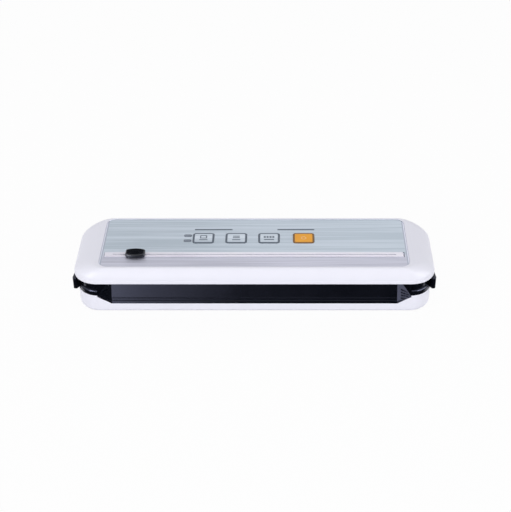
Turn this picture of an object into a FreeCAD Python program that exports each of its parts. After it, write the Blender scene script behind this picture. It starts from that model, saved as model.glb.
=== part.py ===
import FreeCAD, Part
import math
import os

# Countertop vacuum sealer for kitchen bags: a white base, a hinged white lid with a brushed
# panel, four keys and a sliding bag cutter, and a black deck with the sealing bar between them.
# Millimetres. X runs along the machine, the front faces -Y and Z is up. The origin is in the
# middle of the footprint, on the surface that the feet stand on.

# Overall form
lid_length = 364.0
lid_depth = 100.0
lid_corner = 25.0
lid_height = 16.0
base_height = 37.0
foot_stand = 2.0

# Lid shell
lid_wall = 2.2
lid_roof = 3.0
lip_height = 3.5
lip_step = 0.5
lip_round = 0.6
skirt_height = 5.0
shoulder_side = 21.5
shoulder_front = 6.4
shoulder_back = 3.9
shoulder_power = 1.5
shoulder_section_count = 7
inner_section_count = 3
plateau_corner = 12.0

# Brushed panel
panel_end_margin = 26.5
panel_front_margin = 8.4
panel_back_margin = 5.4
panel_corner = 9.0
panel_thickness = 0.8
panel_sunk = 0.4
panel_gap = 0.15
panel_chamfer = 0.3

# Keys and indicator windows
key_width = 21.6
key_depth = 18.3
key_corner = 3.0
key_setback = 49.9
key_gap = 0.35
key_proud = 0.4
key_travel = 0.6
key_chamfer = 0.4
key_pitch = 33.7
first_key_x = -52.9
start_key_shift = 1.9
key_flange = 1.2
key_flange_height = 1.0
key_stem_radius = 1.6
window_length = 6.0
window_width = 2.8
window_pitch = 9.2
window_offset = 5.4
window_flat = 0.1

# Bag cutter
rail_end_margin = 4.5
rail_width = 7.6
rail_height = 4.0
rail_setback = 29.6
rail_slot = 1.5
rail_lips = 1.2
rail_cheek = 1.3
rail_end = 8.0
rail_gap = 0.4
rail_under_gap = 0.1
channel_floor = 1.2
channel_side = 1.6
blade_groove_depth = 1.4
blade_groove_width = 1.4
rail_pin_radius = 0.7
rail_pin_seat = 2.0
knob_length = 19.8
knob_width = 13.2
knob_end_width = 8.6
knob_corner = 1.8
knob_height = 3.2
knob_round = 1.4
knob_end_margin = 31.0
knob_lift = 0.2
slider_foot_length = 14.0
slider_foot_height = 1.3
slider_fit = 0.15
blade_length = 8.0
blade_thickness = 0.5
blade_reach = 1.0
running_fit = 0.05

# Lid liner and what it carries
liner_lift = 1.5
liner_thickness = 2.0
liner_gap = 0.3
gasket_groove = 0.8
strip_width = 9.0
board_end_margin = 4.3
board_depth = 34.0
board_thickness = 1.6
switch_side = 6.0
switch_height = 3.4
switch_bore_gap = 0.2
switch_clear = 0.3
stem_entry = 0.5
boss_radius = 3.2
screw_head_radius = 2.7
screw_head_height = 1.6
screw_radius = 1.35
screw_gap = 0.05
liner_screw_length = 9.0
liner_screw_end = 32.0
liner_screw_back = 20.0
liner_screw_front = 9.0
liner_screw_front_end = 82.0
liner_screw_board_gap = 6.95

# Hinge
hinge_end_margin = 62.0
hinge_inset = 5.0
hinge_drop = 3.0
knuckle_radius = 3.0
knuckle_length = 10.0
knuckle_gap = 0.4
barrel_length = 7.0
hinge_pin_radius = 1.25
press_gap = 0.02

# Deck and base shell
base_inset = 3.0
rim_step = 2.0
base_wall = 2.2
base_round = 5.0
band_height = 16.2
bead_height = 6.2
bead_round = 2.5
deck_drop = 3.0
deck_thickness = 2.5
deck_chamfer = 0.8
rim_lip = 1.6
rim_lip_gap = 0.6
ramp_margin = 38.0
ramp_drop = 26.0
ramp_depth = 9.0
ramp_wall = 2.4
ramp_flare = 14.0
flare_drop = 17.0
ramp_gap = 0.15
ridge_size = 0.5
ridge_rise = 3.0
ridge_pitch = 2.4

# Vacuum trough, gaskets and sealing bar
trough_end_margin = 32.0
trough_setback = 36.0
trough_sink = 10.0
trough_corner = 5.0
trough_wall = 2.0
gasket_margin = 1.5
gasket_width = 6.0
gasket_seat = 1.5
gasket_meet = 0.3
bar_overhang = 5.0
bar_width = 10.0
bar_setback = 14.0
bar_top_drop = 0.7
heater_width = 4.0
heater_thickness = 0.2
tape_thickness = 0.2

# Release latches
latch_front = 13.8
latch_length = 30.7
latch_top_gap = 2.6
latch_bulge = 1.7
latch_bulge_at = 3.0
latch_bend = 0.7
latch_bend_at = 24.0
latch_tip = 3.4
latch_tip_inset = 0.9
latch_taper = 4.5
latch_tail_inset = 4.2
latch_crest_round = 8.0
latch_tip_round = 1.6
latch_root = 2.5
latch_chamfer = 0.8
latch_gap = 0.5
latch_lift = 0.4
latch_travel = 3.0
latch_neck_width = 10.0
latch_neck_height = 3.0
latch_neck_back = 8.2
latch_post = 3.5
latch_nose = 2.0
hook_thickness = 2.0
hook_inset = 12.0
hook_clear = 0.4
hook_slot_gap = 0.8
hook_rim = 1.0
hook_width = 8.0
hook_window = 2.6
nose_reach = 4.0
guide_wall = 1.6
guide_gap = 0.3
spring_radius = 2.4
spring_wire = 0.35
spring_turns = 4
spring_wire_sides = 6
spring_length = 8.0
spring_wall = 2.5

# Pump
motor_radius = 11.5
motor_length = 38.0
motor_end_margin = 80.0
motor_wall_gap = 4.1
case_chamfer = 2.0
shaft_boss_radius = 4.0
shaft_boss_length = 2.0
pump_head_length = 30.0
pump_head_depth = 18.0
pump_head_clear = 2.65
pump_flange_length = 4.0
cradle_thickness = 3.0
cradle_inset = 7.0
clamp_width = 10.0
clamp_thickness = 1.2
clamp_foot = 9.0
nipple_radius = 2.5
nipple_bore = 1.5
nipple_z_below_deck = 8.0
nipple_reach = 5.0
nozzle_length = 4.6
nozzle_root = 3.0
nozzle_gap = 0.6
hose_wall = 1.4
hose_overlap = 4.5

# Power supply
core_length = 42.0
core_stack = 18.0
core_headroom = 3.3
core_limb = 6.0
core_window = 8.0
core_end_margin = 54.0
core_inset = 17.0
coil_overhang = 5.8
coil_gap = 0.2
supply_length = 88.0
supply_depth = 28.0
supply_core_gap = 11.0
supply_inset = 17.0
supply_lift = 5.0
standoff_radius = 2.5
standoff_margin = 4.0
relay_length = 19.0
relay_depth = 15.0
relay_height = 15.0
capacitor_radius = 6.3
capacitor_headroom = 3.7
component_chamfer = 0.5
terminal_length = 16.0
terminal_depth = 9.0
terminal_height = 11.0

# Mains inlet
inlet_length = 20.0
inlet_height = 12.0
inlet_depth = 18.0
inlet_flange = 2.5
inlet_flange_thickness = 1.2
inlet_socket_length = 14.6
inlet_socket_height = 8.0
inlet_socket_depth = 11.0
inlet_pin_radius = 1.2
inlet_pin_pitch = 8.6
inlet_pin_length = 9.0
inlet_pin_root = 4.0

# Feet and base screws
foot_radius = 6.0
foot_sunk = 1.0
foot_end_margin = 32.0
foot_edge_margin = 18.0
foot_chamfer = 0.8
base_boss_radius = 5.0
base_boss_height = 18.0
screw_sink = 8.0
screw_entry = 10.0
screw_hole_gap = 0.2
base_screw_end = 15.5
base_screw_back = 18.0
base_screw_front = 19.0
base_screw_front_x = 62.0

# Levels and edges that follow from the sizes above
base_bottom = foot_stand
lid_bottom = foot_stand + base_height
lid_top = lid_bottom + lid_height
front_y = -lid_depth / 2
back_y = lid_depth / 2
end_x = lid_length / 2
base_front = front_y + base_inset
base_back = back_y - base_inset
base_end = end_x - base_inset
shell_top = lid_bottom - band_height
bead_top = shell_top + bead_height
deck_top = lid_bottom - deck_drop
deck_under = deck_top - deck_thickness
floor_top = base_bottom + base_wall
panel_top = lid_top - panel_sunk
panel_bottom = panel_top - panel_thickness
panel_end = end_x - panel_end_margin
panel_front = front_y + panel_front_margin
panel_back = back_y - panel_back_margin
roof_under = lid_top - lid_roof
liner_bottom = lid_bottom + liner_lift
liner_top = liner_bottom + liner_thickness
hinge_places = (hinge_end_margin - end_x, end_x - hinge_end_margin)
hinge_y = back_y - hinge_inset
hinge_z = lid_bottom - hinge_drop
key_y = front_y + key_setback + key_depth / 2
key_places = [first_key_x + key_pitch * index for index in range(3)]
key_places.append(first_key_x + key_pitch * 3 + start_key_shift)
window_x = key_places[0] - key_width / 2 - window_offset
board_middle = (key_places[0] + key_places[-1]) / 2
board_half = board_middle - window_x + window_length / 2 + board_end_margin
rail_y = front_y + rail_setback
rail_top = lid_top
rail_bottom = rail_top - rail_height
channel_z = rail_bottom - rail_under_gap
rail_right = panel_end - rail_end_margin
knob_x = knob_end_margin - rail_right
rail_pin_x = rail_right - rail_height / 2
rail_pin_z = rail_top - rail_height / 2
flange_top = roof_under - press_gap
flange_low = flange_top - key_flange_height
switch_top = flange_low - key_travel - switch_clear
board_top = switch_top - switch_height
motor_y = base_back - base_wall - motor_wall_gap - motor_radius
pump_head_front = motor_y - pump_head_depth / 2
nozzle_start = pump_head_front - nozzle_length
nipple_end = nozzle_start - nozzle_gap
trough_front = front_y + trough_setback
trough_back = nipple_end - nipple_reach - trough_wall
trough_floor = deck_top - trough_sink
trough_half = end_x - trough_end_margin
gasket_inner = trough_half + gasket_margin
bar_half = trough_half + bar_overhang
bar_front = front_y + bar_setback
bar_middle = bar_front + bar_width / 2
bar_top = lid_bottom - bar_top_drop
tape_top = bar_top + heater_thickness + tape_thickness
bar_seat = deck_top - gasket_seat
ramp_end = end_x - ramp_margin
ramp_low = lid_bottom - ramp_drop
ramp_slope = ramp_depth / (deck_top - ramp_low)
flare_z = lid_bottom - flare_drop
hook_x = end_x - hook_inset
latch_y0 = front_y + latch_front
latch_y1 = latch_y0 + latch_length
latch_z0 = shell_top + latch_lift
latch_z1 = lid_bottom - latch_top_gap
neck_y0 = latch_y0 + latch_neck_back
neck_y1 = neck_y0 + latch_neck_width
neck_top = latch_z0 + latch_neck_height
hook_low = neck_top + hook_slot_gap
nose_z0 = hook_low + latch_nose
motor_x = end_x - motor_end_margin - motor_length
motor_z = (floor_top + deck_under) / 2
motor_end = motor_x + motor_length
pump_head_low = floor_top + pump_head_clear
pump_head_high = deck_under - pump_head_clear
nipple_x = motor_end + pump_head_length / 2
nipple_z = deck_top - nipple_z_below_deck

core_x = core_end_margin - end_x
core_y = base_back - base_wall - core_inset
core_top = deck_under - core_headroom
supply_x = core_x + core_length / 2 + supply_core_gap + supply_length / 2
supply_y = base_back - base_wall - supply_inset
supply_low = floor_top + supply_lift
supply_top = supply_low + board_thickness
capacitor_top = deck_under - capacitor_headroom
inlet_x = (supply_x + supply_length / 2 + motor_x) / 2
inlet_z = (floor_top + shell_top) / 2
inlet_face = base_back + inlet_flange_thickness
cap_inner = base_end - latch_root
latch_peak = end_x + latch_bulge
latch_shoulder = latch_peak - latch_tip_inset
post_inner = hook_x - hook_thickness - hook_clear - latch_nose - latch_post

liner_screw_places = [
    (liner_screw_end - end_x, back_y - liner_screw_back),
    (end_x - liner_screw_end, back_y - liner_screw_back),
    (0.0, key_y + board_depth / 2 + liner_screw_board_gap),
    (liner_screw_front_end - end_x, front_y + liner_screw_front),
    (end_x - liner_screw_front_end, front_y + liner_screw_front),
    (0.0, front_y + liner_screw_front),
]
base_screw_places = [
    (base_screw_end - end_x, back_y - base_screw_back),
    (end_x - base_screw_end, back_y - base_screw_back),
    (base_screw_end - end_x, 0.0),
    (end_x - base_screw_end, 0.0),
    (-base_screw_front_x, front_y + base_screw_front),
    (base_screw_front_x, front_y + base_screw_front),
]
supply_corners = [
    (supply_x + side * (supply_length / 2 - standoff_margin),
     supply_y + end * (supply_depth / 2 - standoff_margin))
    for side in (-1, 1)
    for end in (-1, 1)
]
foot_places = [
    (side * (end_x - foot_end_margin), end * (lid_depth / 2 - foot_edge_margin))
    for side in (-1, 1)
    for end in (-1, 1)
]

Vec = FreeCAD.Vector
along_x = Vec(1, 0, 0)
along_y = Vec(0, 1, 0)
along_z = Vec(0, 0, 1)
spare = 1.0
bite = 0.5


def box(x0, x1, y0, y1, z0, z1):
    return Part.makeBox(x1 - x0, y1 - y0, z1 - z0, Vec(x0, y0, z0))


def rod(radius, start, direction, length):
    return Part.makeCylinder(radius, length, start, direction)


def rounded_wire(x0, x1, y0, y1, radius, z):
    """A rectangle with round corners, as one closed wire at height z."""
    turn = radius * (1 - math.sqrt(0.5))
    corners = [
        (Vec(x1 - radius, y0, z), Vec(x1 - turn, y0 + turn, z), Vec(x1, y0 + radius, z)),
        (Vec(x1, y1 - radius, z), Vec(x1 - turn, y1 - turn, z), Vec(x1 - radius, y1, z)),
        (Vec(x0 + radius, y1, z), Vec(x0 + turn, y1 - turn, z), Vec(x0, y1 - radius, z)),
        (Vec(x0, y0 + radius, z), Vec(x0 + turn, y0 + turn, z), Vec(x0 + radius, y0, z)),
    ]
    edges = []
    for index, (start, middle, end) in enumerate(corners):
        edges.append(Part.Arc(start, middle, end).toShape())
        edges.append(Part.LineSegment(end, corners[(index + 1) % 4][0]).toShape())
    return Part.Wire(edges)


def rounded_plate(x0, x1, y0, y1, radius, z0, z1):
    face = Part.Face(rounded_wire(x0, x1, y0, y1, radius, z0))
    return face.extrude(Vec(0, 0, z1 - z0))


def outline_plate(inset, z0, z1):
    """A plate with the lid's outline, drawn in by inset on every side."""
    radius = lid_corner - inset
    return rounded_plate(-end_x + inset, end_x - inset, front_y + inset, back_y - inset, radius, z0, z1)


def ring(x_half, y0, y1, width, radius, z0, z1):
    outer = rounded_plate(-x_half - width, x_half + width, y0 - width, y1 + width, radius + width, z0, z1)
    inner = rounded_plate(-x_half, x_half, y0, y1, radius, z0 - spare, z1 + spare)
    return outer.cut(inner)


def edges_at(shape, z, tolerance=0.01):
    """Edges that lie wholly at height z."""
    found = []
    for edge in shape.Edges:
        bounds = edge.BoundBox
        if abs(bounds.ZMin - z) < tolerance and abs(bounds.ZMax - z) < tolerance:
            found.append(edge)
    return found


def both_ends(shape):
    """The shape and its mirror image at the other end of the machine."""
    return shape, shape.mirror(Vec(0, 0, 0), along_x)


def fused(shapes):
    first, rest = shapes[0], shapes[1:]
    return first.multiFuse(rest).removeSplitter() if rest else first


def without(shape, cutters):
    return shape.cut(Part.makeCompound(cutters))


def lid_section(share, wall, z):
    """Outline of the lid where the shoulder has gone this share of its way in to the plateau."""
    side = lip_step + share * (shoulder_side - lip_step) + wall
    front = lip_step + share * (shoulder_front - lip_step) + wall
    back = lip_step + share * (shoulder_back - lip_step) + wall
    radius = (lid_corner - lip_step) * (1 - share) + plateau_corner * share - wall
    return rounded_wire(-end_x + side, end_x - side, front_y + front, back_y - back, radius, z)


def lid_form(wall, low, top, sections, straight):
    """Skirt and shoulders of the lid, from low to top, rounded or with straight runs between sections."""
    skirt_top = lid_bottom + skirt_height
    skirt = Part.Face(lid_section(0.0, wall, low)).extrude(Vec(0, 0, skirt_top - low))
    wires = []
    for step in range(sections):
        angle = math.pi / 2 * step / (sections - 1)
        share = 1 - math.cos(angle) ** (2 / shoulder_power)
        rise = math.sin(angle) ** (2 / shoulder_power)
        wires.append(lid_section(share, wall, skirt_top + rise * (top - skirt_top)))
    shoulders = Part.makeLoft(wires, True, straight)
    return skirt.fuse(shoulders)


def key_opening(x, z0, z1):
    half_x = key_width / 2 + key_gap
    half_y = key_depth / 2 + key_gap
    radius = key_corner + key_gap
    return rounded_plate(x - half_x, x + half_x, key_y - half_y, key_y + half_y, radius, z0, z1)


def window_plates(gap, z0, z1):
    """The two indicator windows beside the first key."""
    half_x = window_length / 2 + gap
    half_y = window_width / 2 + gap
    plates = []
    for place in (-1, 1):
        y = key_y + place * window_pitch / 2
        plates.append(rounded_plate(window_x - half_x, window_x + half_x, y - half_y, y + half_y,
                                    half_y - window_flat, z0, z1))
    return plates


def channel_block(margin, z0, z1):
    half = rail_width / 2 + rail_gap + margin
    reach = rail_right + rail_gap + margin
    return box(-reach, reach, rail_y - half, rail_y + half, z0, z1)


def make_lid_shell():
    outer = lid_form(0.0, lid_bottom, lid_top, shoulder_section_count, False)
    lip = outline_plate(0.0, lid_bottom, lid_bottom + lip_height)
    lip = lip.makeFillet(lip_round, edges_at(lip, lid_bottom) + edges_at(lip, lid_bottom + lip_height))
    outer = outer.fuse(lip)
    inner = lid_form(lid_wall, lid_bottom - spare, roof_under, inner_section_count, True)
    shell = outer.cut(inner)
    groove_under = channel_z - blade_groove_depth - channel_floor
    tray = channel_block(channel_side, groove_under, roof_under + spare)
    bosses = [rod(boss_radius, Vec(x, y, liner_top), along_z, roof_under + spare - liner_top)
              for x, y in liner_screw_places]
    shell = fused([shell, tray] + bosses)
    recess = rounded_plate(
        -panel_end - panel_gap, panel_end + panel_gap,
        panel_front - panel_gap, panel_back + panel_gap,
        panel_corner + panel_gap, panel_bottom, lid_top + spare)
    cutters = [recess, channel_block(0.0, channel_z, lid_top + spare)]
    groove_end = rail_right - rail_end
    cutters.append(box(-groove_end, groove_end, rail_y - blade_groove_width / 2,
                       rail_y + blade_groove_width / 2, channel_z - blade_groove_depth, lid_top))
    pin_reach = rail_width / 2 + rail_gap + rail_pin_seat
    cutters.append(rod(rail_pin_radius + press_gap, Vec(rail_pin_x, rail_y - pin_reach, rail_pin_z),
                       along_y, 2 * pin_reach))
    cutters += [key_opening(x, roof_under - spare, lid_top) for x in key_places]
    cutters += window_plates(panel_gap, roof_under - spare, lid_top)
    for x, y in liner_screw_places:
        cutters.append(rod(screw_radius + screw_gap, Vec(x, y, liner_top - spare), along_z,
                           liner_screw_length))
    return without(shell, cutters)


def make_brushed_panel():
    panel = rounded_plate(-panel_end, panel_end, panel_front, panel_back,
                          panel_corner, panel_bottom, panel_top)
    panel = panel.makeChamfer(panel_chamfer, edges_at(panel, panel_top))
    cutters = [channel_block(0.0, panel_bottom - spare, panel_top + spare)]
    cutters += [key_opening(x, panel_bottom - spare, panel_top + spare) for x in key_places]
    cutters += window_plates(panel_gap, panel_bottom - spare, panel_top + spare)
    return without(panel, cutters)


def make_key(x):
    """A key cap with a flange under the roof and a stem down into its switch."""
    top = panel_top + key_proud
    half_x = key_width / 2
    half_y = key_depth / 2
    cap = rounded_plate(x - half_x, x + half_x, key_y - half_y, key_y + half_y, key_corner, flange_top, top)
    cap = cap.makeChamfer(key_chamfer, edges_at(cap, top))
    reach_x = half_x + key_flange
    reach_y = half_y + key_flange
    flange = rounded_plate(x - reach_x, x + reach_x, key_y - reach_y, key_y + reach_y,
                           key_corner + key_flange, flange_low, flange_top)
    stem_low = switch_top - stem_entry
    stem = rod(key_stem_radius, Vec(x, key_y, stem_low), along_z, flange_top - stem_low)
    return fused([cap, flange, stem])


def make_tact_switches():
    """Housings on the control board, each open at the top for the key's stem."""
    housings = []
    half = switch_side / 2
    depth = stem_entry + key_travel + 2 * switch_bore_gap
    for x in key_places:
        housing = box(x - half, x + half, key_y - half, key_y + half, board_top, switch_top)
        bore = rod(key_stem_radius + switch_bore_gap, Vec(x, key_y, switch_top - depth),
                   along_z, depth + spare)
        housings.append(housing.cut(bore))
    return Part.makeCompound(housings)


def make_control_board():
    low = board_top - board_thickness
    board = box(board_middle - board_half, board_middle + board_half,
                key_y - board_depth / 2, key_y + board_depth / 2, low, board_top)
    feet = []
    for side in (-1, 1):
        for end in (-1, 1):
            x = board_middle + side * (board_half - standoff_margin)
            y = key_y + end * (board_depth / 2 - standoff_margin)
            feet.append(rod(standoff_radius, Vec(x, y, liner_top), along_z, low - liner_top))
    return fused([board] + feet)


def make_indicator_windows():
    """Clear light pipes from the control board up to the face of the panel."""
    return Part.makeCompound(window_plates(0.0, board_top, panel_top))


def make_cutter_rail():
    """An open channel, slotted along its top, with solid ends and a round nose at the pin."""
    half = rail_width / 2
    nose = rail_height / 2
    bar = box(-rail_right, rail_pin_x, rail_y - half, rail_y + half, rail_bottom, rail_top)
    bar = bar.fuse(rod(nose, Vec(rail_pin_x, rail_y - half, rail_pin_z), along_y, rail_width))
    open_end = rail_right - rail_end
    slot = box(-open_end, open_end, rail_y - rail_slot / 2, rail_y + rail_slot / 2,
               rail_bottom - spare, rail_top + spare)
    hollow = box(-open_end, open_end, rail_y - half + rail_cheek, rail_y + half - rail_cheek,
                 rail_bottom - spare, rail_top - rail_lips)
    bore = rod(rail_pin_radius + running_fit, Vec(rail_pin_x, rail_y - rail_width, rail_pin_z),
               along_y, 2 * rail_width)
    return without(bar, [slot, hollow, bore]).removeSplitter()


def make_rail_pin():
    reach = rail_width / 2 + rail_gap + rail_pin_seat
    return rod(rail_pin_radius, Vec(rail_pin_x, rail_y - reach, rail_pin_z), along_y, 2 * reach)


def make_cutter_knob():
    """A knob with bowed sides and blunt ends, a neck through the rail's slot and a foot under its lips."""
    low = rail_top + knob_lift
    left, right = knob_x - knob_length / 2, knob_x + knob_length / 2
    front, back = rail_y - knob_end_width / 2, rail_y + knob_end_width / 2
    bow_top = Vec(knob_x, rail_y + knob_width / 2, low)
    bow_foot = Vec(knob_x, rail_y - knob_width / 2, low)
    bow_back = Part.Arc(Vec(right, back, low), bow_top, Vec(left, back, low))
    bow_front = Part.Arc(Vec(left, front, low), bow_foot, Vec(right, front, low))
    outline = Part.Wire([
        Part.LineSegment(Vec(right, front, low), Vec(right, back, low)).toShape(),
        bow_back.toShape(),
        Part.LineSegment(Vec(left, back, low), Vec(left, front, low)).toShape(),
        bow_front.toShape(),
    ])
    grip = Part.Face(outline).extrude(Vec(0, 0, knob_height))
    grip = grip.makeFillet(knob_corner, [edge for edge in grip.Edges if edge.BoundBox.ZLength > spare])
    grip = grip.makeFillet(knob_round, edges_at(grip, low + knob_height))
    neck_half = rail_slot / 2 - slider_fit
    foot_top = rail_top - rail_lips - slider_fit
    reach = slider_foot_length / 2
    neck = box(knob_x - reach + spare, knob_x + reach - spare, rail_y - neck_half, rail_y + neck_half,
               foot_top, low)
    foot_half = rail_width / 2 - rail_cheek - slider_fit
    foot = box(knob_x - reach, knob_x + reach, rail_y - foot_half, rail_y + foot_half,
               foot_top - slider_foot_height, foot_top)
    knob = fused([grip, neck, foot])
    return knob.cut(blade_form(press_gap))


def blade_form(gap):
    foot_low = rail_top - rail_lips - slider_fit - slider_foot_height
    low = channel_z - blade_reach
    high = foot_low + slider_foot_height / 2 + gap
    half = blade_thickness / 2 + gap
    reach = blade_length / 2 + gap
    points = [
        Vec(knob_x - reach, rail_y - half, high),
        Vec(knob_x + reach, rail_y - half, high),
        Vec(knob_x + reach, rail_y - half, foot_low),
        Vec(knob_x, rail_y - half, low),
        Vec(knob_x - reach, rail_y - half, foot_low),
    ]
    face = Part.Face(Part.makePolygon(points + points[:1]))
    return face.extrude(Vec(0, 2 * half, 0))


def make_cutter_blade():
    return blade_form(0.0)


def make_lid_liner():
    """Black plate that closes the lid from below, with hinge knuckles and hooks on it."""
    liner = outline_plate(lip_step + lid_wall + liner_gap, liner_bottom, liner_top)
    extras = []
    for x in hinge_places:
        half = knuckle_length / 2
        extras.append(rod(knuckle_radius, Vec(x - half, hinge_y, hinge_z), along_x, knuckle_length))
        extras.append(box(x - half, x + half, hinge_y - knuckle_radius, hinge_y + knuckle_radius / 2,
                          hinge_z, liner_bottom + bite))
    hook_y0 = (neck_y0 + neck_y1 - hook_width) / 2
    hook = box(hook_x - hook_thickness, hook_x, hook_y0, hook_y0 + hook_width, hook_low, liner_bottom + bite)
    window = box(hook_x - 2 * hook_thickness, hook_x + hook_thickness, hook_y0 + hook_rim,
                 hook_y0 + hook_width - hook_rim, nose_z0 - hook_clear, nose_z0 + hook_window)
    extras += both_ends(hook.cut(window))
    liner = fused([liner] + extras)
    groove_top = liner_bottom + gasket_groove
    cutters = [
        ring(gasket_inner - press_gap, trough_front - gasket_margin + press_gap,
             trough_back + gasket_margin - press_gap, gasket_width + 2 * press_gap,
             trough_corner, liner_bottom - spare, groove_top),
        box(-bar_half - press_gap, bar_half + press_gap, bar_middle - strip_width / 2 - press_gap,
            bar_middle + strip_width / 2 + press_gap, liner_bottom - spare, groove_top),
    ]
    for x in hinge_places:
        cutters.append(rod(hinge_pin_radius + running_fit, Vec(x - knuckle_length, hinge_y, hinge_z),
                           along_x, 2 * knuckle_length))
    for x, y in liner_screw_places:
        cutters.append(rod(screw_radius + screw_gap, Vec(x, y, liner_bottom - spare), along_z,
                           liner_thickness + 2 * spare))
    return without(liner, cutters)


def make_liner_screws():
    screws = []
    for x, y in liner_screw_places:
        head = rod(screw_head_radius, Vec(x, y, liner_bottom), -along_z, screw_head_height)
        rim = edges_at(head, liner_bottom - screw_head_height)
        head = head.makeChamfer(screw_head_height / 2, rim)
        shank = rod(screw_radius, Vec(x, y, liner_bottom), along_z, liner_screw_length)
        screws.append(head.fuse(shank).removeSplitter())
    return Part.makeCompound(screws)


def make_upper_gasket():
    return ring(gasket_inner, trough_front - gasket_margin, trough_back + gasket_margin, gasket_width,
                trough_corner, lid_bottom + gasket_meet, liner_bottom + gasket_groove)


def make_press_strip():
    return box(-bar_half, bar_half, bar_middle - strip_width / 2, bar_middle + strip_width / 2,
               tape_top + gasket_meet, liner_bottom + gasket_groove)


def ramp_hollow(grow):
    """The hollow in front of the deck, with a sloping floor and ends that turn in; grow widens it."""
    low = ramp_low - grow
    start = base_front + grow
    deep = base_front + ramp_slope * (lid_bottom - ramp_low) + grow
    end = ramp_end + grow
    flare = end + ramp_flare
    middle = flare_z - grow
    foot_left, foot_right = Vec(-end, start, low), Vec(end, start, low)
    back_left, back_right = Vec(-end, deep, lid_bottom), Vec(end, deep, lid_bottom)
    tip_left, tip_right = Vec(-flare, start, middle), Vec(flare, start, middle)
    top_left, top_right = Vec(-flare, start, lid_bottom), Vec(flare, start, lid_bottom)
    front = [foot_left, tip_left, top_left, top_right, tip_right, foot_right]
    faces = [
        [foot_left, foot_right, back_right, back_left],
        [back_left, back_right, top_right, top_left],
        [foot_right, tip_right, back_right],
        [tip_right, top_right, back_right],
        [foot_left, back_left, tip_left],
        [tip_left, back_left, top_left],
        front,
    ]
    shell = Part.makeShell([Part.Face(Part.makePolygon(points + points[:1])) for points in faces])
    front_face = Part.Face(Part.makePolygon(front + front[:1]))
    return Part.makeSolid(shell).fuse(front_face.extrude(Vec(0, front_y - start, 0)))


def front_trapezoid(gap, y0, y1):
    """The front cut-out of the base shell, seen from the front as a flared strip."""
    end = ramp_end - gap
    flare = ramp_end + ramp_flare - gap
    points = [
        Vec(-end, y0, ramp_low + gap),
        Vec(end, y0, ramp_low + gap),
        Vec(flare, y0, flare_z + gap),
        Vec(flare, y0, deck_under),
        Vec(-flare, y0, deck_under),
        Vec(-flare, y0, flare_z + gap),
    ]
    face = Part.Face(Part.makePolygon(points + points[:1]))
    return face.extrude(Vec(0, y1 - y0, 0))


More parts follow.
